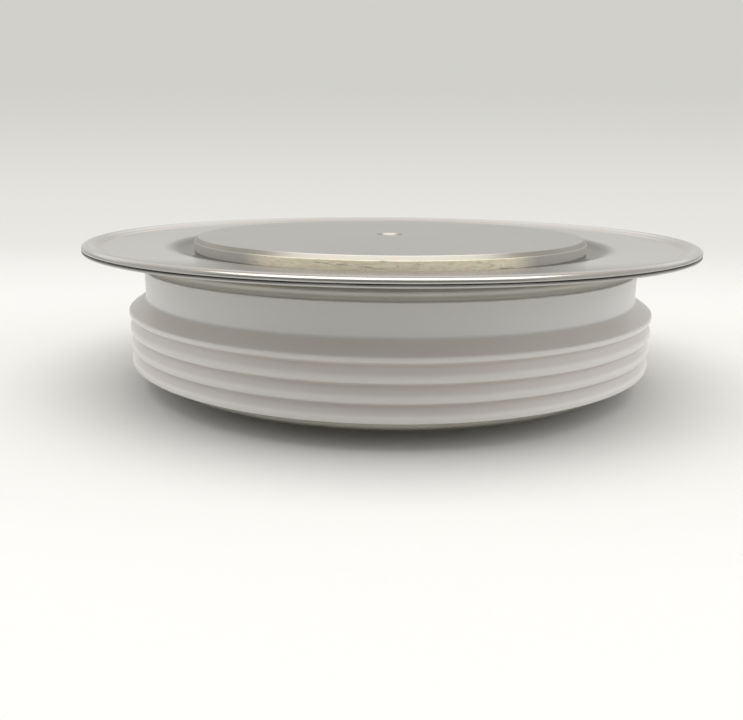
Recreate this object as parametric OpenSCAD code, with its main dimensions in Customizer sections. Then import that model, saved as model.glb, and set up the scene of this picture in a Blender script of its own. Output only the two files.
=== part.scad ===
// Disc thyristor in a ceramic capsule.
// Two copper poles are clamped on a silicon wafer inside a ribbed ceramic ring, and two thin
// sheet flanges, welded together at their rim, close the capsule.
// Millimetres, +Z up along the axis, origin at the centre of the lower contact face.

/* [Capsule] */
// Distance between the two contact faces
capsule_height = 26; // [25:0.5:40]
// Height of the lower pole
anode_pole_height = 10.4; // [9:0.1:11]

/* [Poles] */
// Diameter of both contact poles
pole_d = 73.2; // [50:0.1:100]
// Chamfer around each contact face
face_chamfer = 0.75; // [0.3:0.05:1.2]
// Height that each contact face stands proud of its sheet flange
face_lift = 2.25; // [1.5:0.05:2.6]
// Width of the ledge that carries the sheet flange
ledge_width = 2; // [1.6:0.1:2.4]
// Thickness of that ledge
ledge_thickness = 1.2; // [0.8:0.1:1.6]
// Step from the contact face's radius in to the pole's body
body_step = 0.6; // [0.2:0.1:1.2]
// Chamfer at the inner end of each pole
inner_chamfer = 1.2; // [0.4:0.1:2]

/* [Centring holes] */
// Diameter of the blind hole in the middle of each contact face
centring_hole_d = 3.5; // [2:0.1:5]
// Depth of that hole
centring_hole_depth = 3; // [2:0.1:3.4]
// Countersink at its mouth
centring_countersink = 0.8; // [0.2:0.1:1.2]

/* [Flanges] */
// Thickness of the three flange sheets
sheet = 0.5; // [0.3:0.05:0.6]
// Reach of the welded rim beyond the ceramic's neck
flange_overhang = 10; // [8:0.5:16]
// Depth of the weld's plane below the upper contact face
weld_depth = 1.26; // [1:0.02:1.6]
// Width of the welded band at the rim
weld_width = 2.6; // [1.5:0.1:4]
// Height of the welded band above the sheet inside it
weld_step = 0.26; // [0.1:0.02:0.4]
// Radial run of that step
weld_step_run = 0.5; // [0.3:0.05:0.8]
// Width of the flat floor of the trough beside the pole
trough_floor = 1.4; // [0.8:0.1:2]
// Width of the trough's rising side
trough_side = 3; // [2:0.1:4]
// Height of the trough's rising side
trough_rise = 0.65; // [0.3:0.05:0.8]
// Height from the ceramic to the weld's plane
skirt_height = 3.89; // [3.6:0.01:4.6]
// Height from the lower sheet's underside to the ceramic
anode_skirt_height = 2.2; // [1.8:0.1:3]
// Width of the foot that is brazed on the ceramic
foot_width = 2.8; // [2:0.1:3.6]
// Setback of the skirt from the ceramic's neck
skirt_setback = 0.45; // [0.3:0.05:1]
// Bulge of the upper skirt
skirt_bulge = 0.7; // [0.2:0.05:1]
// Inside spread between the two welded sheets at the skirt
sheet_spread = 0.75; // [0.6:0.05:1]
// Middle radius of the skirts' bends
bend_radius = 0.5; // [0.4:0.05:0.6]

/* [Ceramic] */
// Gap between the pole's ledge and the ceramic's bore
bore_gap = 1.9; // [1:0.1:4]
// Wall of the ceramic at its neck
ceramic_wall = 5; // [4:0.1:8]
// Height of the plain neck above the ribs
neck_height = 4.98; // [4.4:0.02:6]
// Height of the sloping shoulder, from the neck down to the first crest
shoulder_height = 2.11; // [1.4:0.01:3]
// Fillet between the neck and the shoulder
shoulder_fillet = 0.5; // [0.2:0.05:0.8]
// Reach of the ribs beyond the neck
rib_reach = 3.05; // [2:0.05:5]
// Spacing of the ribs
rib_pitch = 2.86; // [2.4:0.02:4]
// Height of the upright lip below each rib's crest
lip_height = 0.73; // [0.5:0.01:1]
// Opening of the grooves between the ribs
groove_opening = 0.45; // [0.2:0.05:0.8]
// Depth of the grooves between the ribs
groove_depth = 0.9; // [0.6:0.05:1.4]
// Rounding of the ribs' crests
crest_rounding = 0.5; // [0.2:0.05:0.6]
// Rounding of the lower edge of the ribs' lips
lip_rounding = 0.22; // [0.1:0.02:0.3]
// Rounding inside the grooves
groove_rounding = 0.1; // [0.04:0.02:0.12]
// Chamfer on the ceramic's end faces
ceramic_chamfer = 0.3; // [0.1:0.05:0.5]

/* [Wafer stack] */
// Reach of the lower molybdenum plate beyond the contact pole
moly_overhang = 0.9; // [0.4:0.1:1.4]
// Thickness of the lower molybdenum plate
anode_moly_thickness = 2; // [1:0.1:2.6]
// Step from that plate's edge in to the wafer's edge
wafer_inset = 0.5; // [0.2:0.05:1]
// Thickness of the silicon wafer, and the width of its bevel
wafer_thickness = 0.8; // [0.4:0.05:1.2]
// Thickness of the upper molybdenum plate
cathode_moly_thickness = 1.6; // [1:0.1:2]
// Thickness of the silver washer
shim_thickness = 0.2; // [0.1:0.05:0.5]
// Width of the rubber bead's lap on the wafer
seal_lap = 0.8; // [0.4:0.1:1.4]
// Height of the rubber bead above the wafer
seal_rise = 0.55; // [0.2:0.05:0.8]
// Gap from the rubber bead in to the upper molybdenum plate
seal_gap = 0.6; // [0.3:0.1:1.2]
// Wall of the centring ring where it hugs the lower pole
ring_wall = 1.5; // [0.8:0.1:1.7]
// Depth of the centring ring's shelf below the stack
ring_shelf = 1.4; // [0.8:0.1:2.4]
// Clearance of the centring ring in the ceramic
ring_clearance = 0.3; // [0.1:0.05:0.6]

/* [Gate] */
// Outer diameter of the gate tube
gate_tube_d = 2.4; // [1.8:0.1:2.6]
// Bore of the gate tube
gate_tube_bore = 1.2; // [1:0.05:1.4]
// Diameter of the gate tube's braze collar
gate_collar_d = 3.4; // [2.8:0.1:3.4]
// Thickness of that collar
gate_collar_thickness = 0.7; // [0.4:0.1:1.2]
// Length of the gate tube outside the collar
gate_tube_length = 7.5; // [4:0.1:8.5]
// Length of the gate tube inside the ceramic's bore
gate_tube_inner_length = 0.6; // [0.2:0.1:0.9]
// Diameter of the gate wire
gate_wire_d = 0.8; // [0.4:0.1:1]
// Outer diameter of the wire's insulating sleeve
gate_sleeve_d = 2.2; // [1.6:0.1:2.8]
// Diameter of the gate pocket in the upper pole
gate_pocket_d = 9.2; // [8:0.1:12]
// Copper left between the gate pocket and the centring hole
gate_web = 1.2; // [0.8:0.1:1.6]
// Wall of the insulating cup
gate_cup_wall = 1; // [0.6:0.1:1.4]
// Diameter of the pin's stem
gate_stem_d = 2.4; // [1.6:0.1:3]
// Thickness of the pin's collar
gate_pin_collar = 0.9; // [0.9:0.1:1.2]
// Length of the pin's spigot inside the spring
gate_spigot = 1; // [0.4:0.1:1.2]
// Wire diameter of the spring
spring_wire_d = 0.4; // [0.3:0.05:0.45]
// Turns of the spring
spring_turns = 3; // [2:0.5:3.5]

/* [Hidden] */
// Clearances between pieces that fit in each other
slip = 0.1;
snug = 0.05;
// Reach of a cut past the face that it opens
cut_past = 1;
// Smoothness of round surfaces and of the arcs in the profiles
$fn = 144;
arc_steps = 8;
corner_steps = 4;
bulge_steps = 16;
// Sides of the spring's wire, and its steps along each turn
spring_sides = 8;
spring_steps = 24;

// Radii, from the axis outwards
pole_r = pole_d / 2;
body_r = pole_r - body_step;
ledge_r = pole_r + ledge_width;
bore_r = ledge_r + bore_gap;
neck_r = bore_r + ceramic_wall;
rib_r = neck_r + rib_reach;
root_r = rib_r - groove_depth;
flange_r = neck_r + flange_overhang;
weld_inner_r = flange_r - weld_width;
skirt_r = neck_r - skirt_setback;
foot_inner_r = skirt_r - foot_width;

// Levels, from the lower contact face up
lower_sheet_z = face_lift;
lower_ledge_z = lower_sheet_z + sheet;
lower_ledge_top = lower_ledge_z + ledge_thickness;
ceramic_base = lower_sheet_z + anode_skirt_height;
weld_z = capsule_height - weld_depth;
ceramic_top = weld_z - skirt_height;
upper_ledge_z = capsule_height - face_lift - sheet;

// Ribs fill what the neck leaves of the ceramic
shoulder_top = ceramic_top - neck_height;
first_crest = shoulder_top - shoulder_height;
first_lip_end = first_crest - lip_height;
rib_count = 1 + floor((first_lip_end - ceramic_base + slip) / rib_pitch);

// Wafer stack
moly_r = pole_r + moly_overhang;
wafer_r = moly_r - wafer_inset;
wafer_top_r = wafer_r - wafer_thickness;
seal_inner_r = wafer_top_r - seal_lap;
contact_r = seal_inner_r - seal_gap;
wafer_z = anode_pole_height + anode_moly_thickness;
wafer_top = wafer_z + wafer_thickness;
shim_z = wafer_top + cathode_moly_thickness;
cathode_pole_z = shim_z + shim_thickness;
cathode_pole_height = capsule_height - cathode_pole_z;
ring_outer_r = bore_r - ring_clearance;

// Gate, at the middle of the plain neck, or higher where the sleeve needs room above the silver washer
neck_middle = (ceramic_top - ceramic_chamfer + shoulder_top + shoulder_fillet) / 2;
gate_sleeve_r = gate_sleeve_d / 2;
gate_z = max(neck_middle, cathode_pole_z + gate_sleeve_r + slip);
gate_tube_r = gate_tube_d / 2;
gate_tip = neck_r + gate_collar_thickness + gate_tube_length;
gate_wire_r = gate_wire_d / 2;
gate_pocket_r = gate_pocket_d / 2;
gate_pocket_top = capsule_height - centring_hole_depth - gate_web;
gate_cup_r = gate_pocket_r - slip;
gate_cup_inner_r = gate_cup_r - gate_cup_wall;
gate_pin_r = gate_cup_inner_r - 2 * slip;
gate_stem_r = gate_stem_d / 2;
gate_hole_r = gate_cup_r - gate_cup_wall / 2;
slot_width = gate_sleeve_d + 4 * slip;
slot_top = gate_z + slot_width / 2;
spring_z = gate_z + gate_pin_collar / 2;
spring_top = gate_pocket_top - gate_cup_wall;
spring_r = gate_pin_r - spring_wire_d;
gate_spigot_r = spring_r - spring_wire_d;

// Colours
nickel = [0.70, 0.69, 0.65];
sheet_metal = [0.66, 0.65, 0.62];
glazed_white = [0.93, 0.92, 0.90];
moly_grey = [0.46, 0.47, 0.49];
silicon_grey = [0.27, 0.29, 0.35];
silver = [0.86, 0.86, 0.85];
rubber_white = [0.88, 0.86, 0.82];
plastic_white = [0.96, 0.96, 0.95];
copper = [0.80, 0.50, 0.34];
spring_steel = [0.55, 0.55, 0.57];

// Points of an arc around a centre, from one angle to another
function arc(centre, radius, from, to) = [
    for (k = [0 : arc_steps])
        let (a = from + (to - from) * k / arc_steps)
        centre + radius * [cos(a), sin(a)]
];

function unit(v) = v / norm(v);
function reversed(list) = [for (i = [len(list) - 1 : -1 : 0]) list[i]];

// Heading of a path at one of its points: the mean of the headings on both sides of it
function heading(path, i) =
    let (last = len(path) - 1)
    let (before = unit(path[max(i, 1)] - path[max(i, 1) - 1]))
    let (after = unit(path[min(i, last - 1) + 1] - path[min(i, last - 1)]))
    unit(before + after);

// Path moved sideways by a distance, to its left where that is positive, with mitred corners
function beside(path, distance) = [
    for (i = [0 : len(path) - 1])
        let (before = unit(path[max(i, 1)] - path[max(i, 1) - 1]))
        let (ahead = heading(path, i))
        path[i] + [-ahead.y, ahead.x] * distance / (ahead * before)
];

// Section of a sheet that follows a path, with its last edge rounded
function sheet_section(path) =
    let (end = path[len(path) - 1])
    let (ahead = heading(path, len(path) - 1))
    let (turn = atan2(ahead.y, ahead.x))
    concat(
        beside(path, sheet / 2),
        arc(end, sheet / 2, turn + 90, turn - 90),
        reversed(beside(path, -sheet / 2))
    );

// Arc that rounds a corner between its neighbours, where a corner is a point and a radius
function corner_arc(before, corner, after) =
    let (radius = corner[1])
    let (back = unit(before[0] - corner[0]))
    let (ahead = unit(after[0] - corner[0]))
    let (half = acos(back * ahead) / 2)
    let (sweep = 180 - 2 * half)
    let (centre = corner[0] + unit(back + ahead) * radius / sin(half))
    let (first = corner[0] + back * radius / tan(half) - centre)
    let (last = corner[0] + ahead * radius / tan(half) - centre)
    [
        for (k = [0 : corner_steps])
            let (t = k / corner_steps)
            centre + (first * sin((1 - t) * sweep) + last * sin(t * sweep)) / sin(sweep)
    ];

// Outline through corners, rounded at each one between the first and the last
function rounded(corners) = [
    for (i = [0 : len(corners) - 1])
        each (i == 0 || i == len(corners) - 1)
            ? [corners[i][0]]
            : corner_arc(corners[i - 1], corners[i], corners[i + 1])
];

// One rib: its crest and lip, then the groove below it
function rib_corners(crest_z) =
    let (lip_z = crest_z - lip_height)
    [
        [[rib_r, crest_z], crest_rounding],
        [[rib_r, lip_z], lip_rounding],
        [[root_r, lip_z], groove_rounding],
        [[root_r, lip_z - groove_opening], groove_rounding]
    ];

// Outside of the ceramic, from the top of its neck down to its base, where the last lip ends
function ceramic_outline() = rounded(concat(
    [
        [[neck_r - ceramic_chamfer, ceramic_top], 0],
        [[neck_r, ceramic_top - ceramic_chamfer], lip_rounding],
        [[neck_r, shoulder_top], shoulder_fillet]
    ],
    [
        for (rib = [0 : 1 : rib_count - 2])
            each rib_corners(first_crest - rib * rib_pitch)
    ],
    [
        [[rib_r, first_crest - (rib_count - 1) * rib_pitch], crest_rounding],
        [[rib_r, ceramic_base], lip_rounding],
        [[root_r, ceramic_base], 0]
    ]
));

// Path of the lid's sheet, from the pole out to the rim
function cathode_flange_path() =
    let (floor_z = upper_ledge_z + sheet / 2)
    let (rim_z = weld_z + sheet / 2)
    [
        [pole_r, floor_z],
        [pole_r + trough_floor, floor_z],
        [pole_r + trough_floor + trough_side, floor_z + trough_rise],
        [weld_inner_r - weld_step_run, rim_z - weld_step],
        [weld_inner_r, rim_z],
        [flange_r - sheet / 2, rim_z]
    ];

// Path of the housing's sheet, from its foot on the ceramic up the bulged skirt and out to the rim
function housing_flange_path() =
    let (foot_z = ceramic_top + sheet / 2)
    let (rim_z = weld_z - sheet / 2)
    let (step_z = rim_z - weld_step - 2 * slip)
    let (flat_z = rim_z - weld_step - sheet_spread)
    let (skirt_low = foot_z + bend_radius)
    let (skirt_high = flat_z - bend_radius)
    concat(
        [[foot_inner_r, foot_z]],
        arc([skirt_r - bend_radius, skirt_low], bend_radius, -90, 0),
        [
            for (k = [1 : bulge_steps - 1])
                let (t = k / bulge_steps)
                [
                    skirt_r + skirt_bulge * (1 - cos(360 * t)) / 2,
                    skirt_low + (skirt_high - skirt_low) * t
                ]
        ],
        arc([skirt_r + bend_radius, skirt_high], bend_radius, 180, 90),
        [
            [weld_inner_r - weld_step_run, step_z],
            [weld_inner_r + weld_step_run, rim_z],
            [flange_r - sheet / 2, rim_z]
        ]
    );

// Path of the lower sheet, from the pole's ledge out and up to its foot under the ceramic
function anode_flange_path() =
    let (floor_z = lower_sheet_z + sheet / 2)
    let (foot_z = ceramic_base - sheet / 2)
    concat(
        [[pole_r, floor_z]],
        arc([skirt_r - bend_radius, floor_z + bend_radius], bend_radius, -90, 0),
        arc([skirt_r - bend_radius, foot_z - bend_radius], bend_radius, 0, 90),
        [[foot_inner_r, foot_z]]
    );

// Ring swept around the axis from a section in its half plane
module turned(section) {
    rotate_extrude() polygon(section);
}

// Washer or disc between two levels
module washer(outer_r, inner_r, low, high) {
    turned([[inner_r, low], [outer_r, low], [outer_r, high], [inner_r, high]]);
}

// Rod along +Y at the gate's level
module gate_rod(radius, from, to) {
    translate([0, from, gate_z]) rotate([-90, 0, 0]) cylinder(r = radius, h = to - from);
}

// Blind hole with a countersunk mouth, seen from the contact face inwards
module centring_hole() {
    hole_r = centring_hole_d / 2;
    cylinder(r = hole_r, h = centring_hole_depth);
    cylinder(r1 = hole_r + centring_countersink, r2 = hole_r, h = centring_countersink);
}

// Turned copper pole, from its contact face at zero up to its inner end
module pole_blank(length, end_r) {
    seat = face_lift + sheet;
    difference() {
        turned([
            [0, 0],
            [pole_r - face_chamfer, 0],
            [pole_r, face_chamfer],
            [pole_r, seat],
            [ledge_r, seat],
            [ledge_r, seat + ledge_thickness],
            [body_r, seat + ledge_thickness],
            [body_r, length - inner_chamfer],
            [end_r, length],
            [0, length]
        ]);
        centring_hole();
    }
}

// Slot along +Y from the axis, open downwards below a level
module gate_slot(width, low, high, reach) {
    translate([-width / 2, 0, low]) cube([width, reach, high - low]);
}

module anode_pole() {
    color(nickel) pole_blank(anode_pole_height, body_r - inner_chamfer);
}

module anode_flange() {
    color(sheet_metal) turned(sheet_section(anode_flange_path()));
}

module ceramic_ring() {
    color(glazed_white) difference() {
        turned(concat([[bore_r, ceramic_base], [bore_r, ceramic_top]], ceramic_outline()));
        gate_rod(gate_tube_r, 0, rib_r);
    }
}

module housing_flange() {
    color(sheet_metal) turned(sheet_section(housing_flange_path()));
}

module cathode_flange() {
    color(sheet_metal) turned(sheet_section(cathode_flange_path()));
}

module cathode_pole() {
    color(nickel) difference() {
        translate([0, 0, capsule_height]) mirror([0, 0, 1]) pole_blank(cathode_pole_height, contact_r);
        translate([0, 0, cathode_pole_z]) cylinder(r = gate_pocket_r, h = gate_pocket_top - cathode_pole_z);
        gate_slot(slot_width, cathode_pole_z, slot_top, ledge_r);
    }
}

module gate_tube() {
    color(nickel) difference() {
        union() {
            gate_rod(gate_tube_r, bore_r - gate_tube_inner_length, gate_tip);
            gate_rod(gate_collar_d / 2, neck_r, neck_r + gate_collar_thickness);
        }
        gate_rod(gate_tube_bore / 2, 0, gate_tip + cut_past);
    }
}

module anode_moly_plate() {
    color(moly_grey) washer(moly_r, 0, anode_pole_height, wafer_z);
}

module silicon_wafer() {
    color(silicon_grey) turned([[0, wafer_z], [wafer_r, wafer_z], [wafer_top_r, wafer_top], [0, wafer_top]]);
}

module edge_seal() {
    crown_r = seal_inner_r + seal_lap;
    crown_z = wafer_top + seal_rise;
    color(rubber_white) turned([
        [wafer_r, wafer_z],
        [moly_r, wafer_z],
        [moly_r, wafer_top],
        [crown_r, crown_z],
        [seal_inner_r, wafer_top + seal_rise / 2],
        [seal_inner_r, wafer_top],
        [wafer_top_r, wafer_top]
    ]);
}

module cathode_moly_plate() {
    color(moly_grey) washer(contact_r, gate_hole_r, wafer_top, shim_z);
}

module silver_shim() {
    color(silver) washer(contact_r, gate_hole_r, shim_z, cathode_pole_z);
}

module centring_ring() {
    sleeve_r = body_r + snug;
    shelf_z = anode_pole_height - ring_shelf;
    color(plastic_white) turned([
        [sleeve_r, lower_ledge_top],
        [sleeve_r + ring_wall, lower_ledge_top],
        [sleeve_r + ring_wall, shelf_z],
        [ring_outer_r, shelf_z],
        [ring_outer_r, wafer_top],
        [moly_r + snug, wafer_top],
        [moly_r + snug, anode_pole_height],
        [sleeve_r, anode_pole_height]
    ]);
}

module gate_cup() {
    color(plastic_white) difference() {
        translate([0, 0, cathode_pole_z]) cylinder(r = gate_cup_r, h = gate_pocket_top - cathode_pole_z);
        translate([0, 0, cathode_pole_z - cut_past])
            cylinder(r = gate_cup_inner_r, h = spring_top - cathode_pole_z + cut_past);
        gate_slot(slot_width, cathode_pole_z - cut_past, slot_top, gate_pocket_d);
    }
}

// Coil spring between the pin's collar and the cup's end, as one swept wire
module gate_spring() {
    wire_r = spring_wire_d / 2;
    low = spring_z + wire_r;
    high = spring_top - wire_r;
    steps = spring_turns * spring_steps;
    rings = [
        for (i = [0 : steps])
            let (a = 360 * spring_turns * i / steps)
            let (z = low + (high - low) * i / steps)
            [
                for (k = [0 : spring_sides - 1])
                    let (b = 360 * k / spring_sides)
                    let (r = spring_r + wire_r * cos(b))
                    [r * cos(a), r * sin(a), z + wire_r * sin(b)]
            ]
    ];
    points = [for (ring = rings) each ring];
    sides = [
        for (i = [0 : steps - 1])
            for (k = [0 : spring_sides - 1])
                let (next = (k + 1) % spring_sides)
                let (here = i * spring_sides)
                let (there = here + spring_sides)
                [here + k, here + next, there + next, there + k]
    ];
    first = [for (k = [spring_sides - 1 : -1 : 0]) k];
    last = [for (k = [0 : spring_sides - 1]) steps * spring_sides + k];
    color(spring_steel) polyhedron(points, concat(sides, [first, last]));
}

module gate_pin() {
    collar_z = spring_z - gate_pin_collar;
    color(copper) union() {
        translate([0, 0, wafer_top]) cylinder(r = gate_stem_r, h = collar_z - wafer_top);
        translate([0, 0, collar_z]) cylinder(r = gate_pin_r, h = gate_pin_collar);
        translate([0, 0, spring_z]) cylinder(r = gate_spigot_r, h = gate_spigot);
    }
}

module gate_bush() {
    color(plastic_white) washer(gate_hole_r - slip, gate_stem_r + slip, wafer_top, shim_z);
}

module gate_wire() {
    color(copper) gate_rod(gate_wire_r, gate_pin_r, gate_tip);
}

module gate_sleeve() {
    color(plastic_white) difference() {
        gate_rod(gate_sleeve_r, gate_cup_r, bore_r - gate_tube_inner_length);
        gate_rod(gate_wire_r + snug, 0, bore_r);
    }
}

anode_pole();
anode_flange();
ceramic_ring();
housing_flange();
cathode_flange();
cathode_pole();
gate_tube();
anode_moly_plate();
silicon_wafer();
edge_seal();
cathode_moly_plate();
silver_shim();
centring_ring();
gate_cup();
gate_spring();
gate_pin();
gate_bush();
gate_wire();
gate_sleeve();
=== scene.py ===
"""Studio scene of a disc thyristor: a glazed ceramic capsule between two plated copper poles.

The sizes of the part and the studio are millimetres in the part's own frame, with +Z up along the
axis and zero at the lower contact face. They become metres when a mesh is made. The finishes work
on Object coordinates, so their lengths are metres and their scales are per metre.
"""

import functools
import logging
import math
from collections.abc import Callable
from dataclasses import dataclass
from enum import Enum

import bpy
import numpy as np
from mathutils import Matrix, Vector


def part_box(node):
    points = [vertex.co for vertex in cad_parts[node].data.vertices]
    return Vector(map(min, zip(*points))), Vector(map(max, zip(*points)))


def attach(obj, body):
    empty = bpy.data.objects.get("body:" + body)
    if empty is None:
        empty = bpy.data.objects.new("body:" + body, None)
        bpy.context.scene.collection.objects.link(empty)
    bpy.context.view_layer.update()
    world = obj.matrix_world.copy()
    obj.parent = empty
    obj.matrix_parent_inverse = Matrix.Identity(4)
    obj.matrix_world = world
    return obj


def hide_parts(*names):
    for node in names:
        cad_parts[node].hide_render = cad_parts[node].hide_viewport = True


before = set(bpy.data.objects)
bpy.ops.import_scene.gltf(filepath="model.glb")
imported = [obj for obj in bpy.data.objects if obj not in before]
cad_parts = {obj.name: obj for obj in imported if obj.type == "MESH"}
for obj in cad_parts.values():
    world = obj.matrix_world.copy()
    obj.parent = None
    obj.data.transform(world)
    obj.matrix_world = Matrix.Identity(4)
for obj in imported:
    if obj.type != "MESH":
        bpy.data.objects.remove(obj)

MM = 0.001
BODY = "root"
SEGMENTS = 384
FILLET_STEPS = 5
EDGE_STEPS = 12
FLAT_MARGIN = 0.05
LONG_LINE_MARGINS = 4
ARC_LINE_SHARE = 0.48
COSINE_LIMIT = 0.99999
SHARP_ANGLE = math.radians(40)
NOISE_SPAN = (0.3, 0.7)
WHITE = (1.0, 1.0, 1.0)
BLACK = (0.0, 0.0, 0.0)

log = logging.getLogger("thyristor")

Colour = tuple[float, float, float]
Point = tuple[float, float, float]
Pair = tuple[float, float]
Socket = bpy.types.NodeSocket
Sockets = bpy.types.bpy_prop_collection


# Profiles in the half plane of radius and height


def arc(centre: Pair, radius: float, start: float, end: float, steps: int = 10) -> np.ndarray:
    """Points of a circular arc.

    Args:
        centre: Centre of the circle, as radius and height.
        radius: Radius of the arc.
        start: First angle in degrees, from the outward direction.
        end: Last angle in degrees.
        steps: Number of steps along the arc.

    Returns:
        The points, one row each.
    """
    turn = np.radians(np.linspace(start, end, steps + 1))
    return np.column_stack([centre[0] + radius * np.cos(turn), centre[1] + radius * np.sin(turn)])


def hold_flats(outline: np.ndarray, margin: float = FLAT_MARGIN) -> np.ndarray:
    """Outline with a point close to each end of its long lines.

    A point is set at the margin from each end of a line, so that the shading of a fillet stays in
    that margin and the rest of the line looks flat.

    Args:
        outline: Points of the outline, one row each.
        margin: Distance of the new points from the ends.

    Returns:
        The points, with the new ones in their places.
    """
    step = np.diff(outline, axis=0)
    length = np.linalg.norm(step, axis=1)
    inset = step * (margin / np.maximum(length, margin))[:, None]
    rows = np.stack([outline[:-1], outline[:-1] + inset, outline[1:] - inset], axis=1)
    long = length > LONG_LINE_MARGINS * margin
    wanted = np.column_stack([np.full(len(long), True), long, long])
    return np.vstack([rows[wanted], outline[-1:]])


def round_corners(corners: np.ndarray, radii: np.ndarray, steps: int = FILLET_STEPS) -> np.ndarray:
    """Open outline whose inner corners are replaced by tangent arcs.

    Each arc starts and ends where it is tangent to the two lines, at radius over the tangent of
    half the corner's angle, and at most just short of the middle of the shorter line.

    Args:
        corners: Corner points, one row each.
        radii: Radius at each inner corner.
        steps: Number of steps along each arc.

    Returns:
        The points of the rounded outline.
    """
    middle = corners[1:-1]
    back = corners[:-2] - middle
    ahead = corners[2:] - middle
    back_length = np.linalg.norm(back, axis=1)
    ahead_length = np.linalg.norm(ahead, axis=1)
    back_unit = back / back_length[:, None]
    ahead_unit = ahead / ahead_length[:, None]
    cosine = (back_unit * ahead_unit).sum(axis=1)
    half = np.arccos(np.clip(cosine, -COSINE_LIMIT, COSINE_LIMIT)) / 2
    longest = ARC_LINE_SHARE * np.minimum(back_length, ahead_length)
    reach = np.minimum(np.asarray(radii) / np.tan(half), longest)
    radius = reach * np.tan(half)
    bisector = back_unit + ahead_unit
    bisector /= np.linalg.norm(bisector, axis=1)[:, None]
    centre = middle + bisector * (radius / np.sin(half))[:, None]
    first = middle + back_unit * reach[:, None] - centre
    last = middle + ahead_unit * reach[:, None] - centre
    sweep = (math.pi - 2 * half)[:, None, None]
    t = np.linspace(0, 1, steps + 1)[None, :, None]
    turned = np.sin((1 - t) * sweep) * first[:, None] + np.sin(t * sweep) * last[:, None]
    arcs = centre[:, None] + turned / np.sin(sweep)
    return np.vstack([corners[:1], arcs.reshape(-1, 2), corners[-1:]])


def sheet_section(path: np.ndarray, thickness: float) -> np.ndarray:
    """Closed section of a sheet that follows a path, with its last edge rounded.

    The path is moved to both sides by half the thickness along the mean normal at each point,
    mitred by the cosine of half the turn there.

    Args:
        path: Points of the sheet's middle line.
        thickness: Thickness of the sheet.

    Returns:
        The points of the section, anticlockwise.
    """
    path = hold_flats(path)
    step = np.diff(path, axis=0)
    unit = step / np.linalg.norm(step, axis=1)[:, None]
    before = np.vstack([unit[:1], unit])
    after = np.vstack([unit, unit[-1:]])
    ahead = before + after
    ahead /= np.linalg.norm(ahead, axis=1)[:, None]
    normal = np.column_stack([-ahead[:, 1], ahead[:, 0]])
    offset = normal * (thickness / 2 / (ahead * before).sum(axis=1))[:, None]
    turn = math.degrees(math.atan2(ahead[-1, 1], ahead[-1, 0]))
    tip = arc(tuple(path[-1]), thickness / 2, turn + 90, turn - 90, EDGE_STEPS)[1:-1]
    loop = np.vstack([path + offset, tip, (path - offset)[::-1]])
    return loop[::-1]


# Meshes


def smooth(mesh: bpy.types.Mesh) -> None:
    """Shades a mesh smooth, apart from its sharp edges."""
    mesh.shade_smooth()
    mesh.set_sharp_from_angle(angle=SHARP_ANGLE)


def mesh_object(name: str, points: np.ndarray, faces: list[np.ndarray]) -> bpy.types.Object:
    """Smooth mesh object at the origin.

    Args:
        name: Name of the object.
        points: Vertex places in millimetres.
        faces: Arrays of vertex indices, one array for each number of corners.

    Returns:
        The new object, linked to the scene.
    """
    mesh = bpy.data.meshes.new(name)
    mesh.from_pydata((points * MM).tolist(), [], [corners for group in faces for corners in group.tolist()])
    mesh.validate()
    smooth(mesh)
    piece = bpy.data.objects.new(name, mesh)
    bpy.context.scene.collection.objects.link(piece)
    return piece


def revolve(name: str, profile: np.ndarray, closed: bool, segments: int = SEGMENTS) -> bpy.types.Object:
    """Surface of revolution: each profile point turns around the axis.

    A closed profile makes a ring. An open one starts and ends on the axis, and its first and last
    points become the middles of two fans. The profile runs anticlockwise, so faces point outwards.

    Args:
        name: Name of the object.
        profile: Points as radius and height.
        closed: Whether the profile's last point joins its first.
        segments: Number of steps around the axis.

    Returns:
        The new object.
    """
    rows = profile if closed else profile[1:-1]
    turn = np.linspace(0, 2 * math.pi, segments, endpoint=False)
    around = np.column_stack([np.cos(turn), np.sin(turn)])
    flat = rows[:, 0][:, None, None] * around[None]
    high = np.broadcast_to(rows[:, 1][:, None, None], (len(rows), segments, 1))
    points = np.concatenate([flat, high], axis=2).reshape(-1, 3)
    row = np.arange(len(rows) if closed else len(rows) - 1)[:, None]
    column = np.arange(segments)[None, :]
    next_row = (row + 1) % len(rows)
    next_column = (column + 1) % segments
    corners = [row * segments + column, row * segments + next_column,
               next_row * segments + next_column, next_row * segments + column]
    faces = [np.stack(corners, axis=2).reshape(-1, 4)]
    if not closed:
        ends = np.array([[0, 0, profile[0, 1]], [0, 0, profile[-1, 1]]])
        first_end, last_end = len(points), len(points) + 1
        ring = np.arange(segments)
        after = (ring + 1) % segments
        top = (len(rows) - 1) * segments
        faces.append(np.column_stack([np.full(segments, first_end), after, ring]))
        faces.append(np.column_stack([np.full(segments, last_end), top + ring, top + after]))
        points = np.vstack([points, ends])
    return mesh_object(name, points, faces)


def cut(piece: bpy.types.Object, cutter: bpy.types.Object) -> None:
    """Takes one solid out of another and removes the cutter.

    Args:
        piece: Object that is cut, whose mesh is replaced.
        cutter: Object that is taken out.
    """
    modifier = piece.modifiers.new("cut", "BOOLEAN")
    modifier.operation = "DIFFERENCE"
    modifier.solver = "EXACT"
    modifier.object = cutter
    graph = bpy.context.evaluated_depsgraph_get()
    result = bpy.data.meshes.new_from_object(piece.evaluated_get(graph))
    piece.modifiers.clear()
    old = piece.data
    piece.data = result
    result.name = piece.name
    bpy.data.meshes.remove(old)
    bpy.data.objects.remove(cutter)
    smooth(result)


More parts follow.
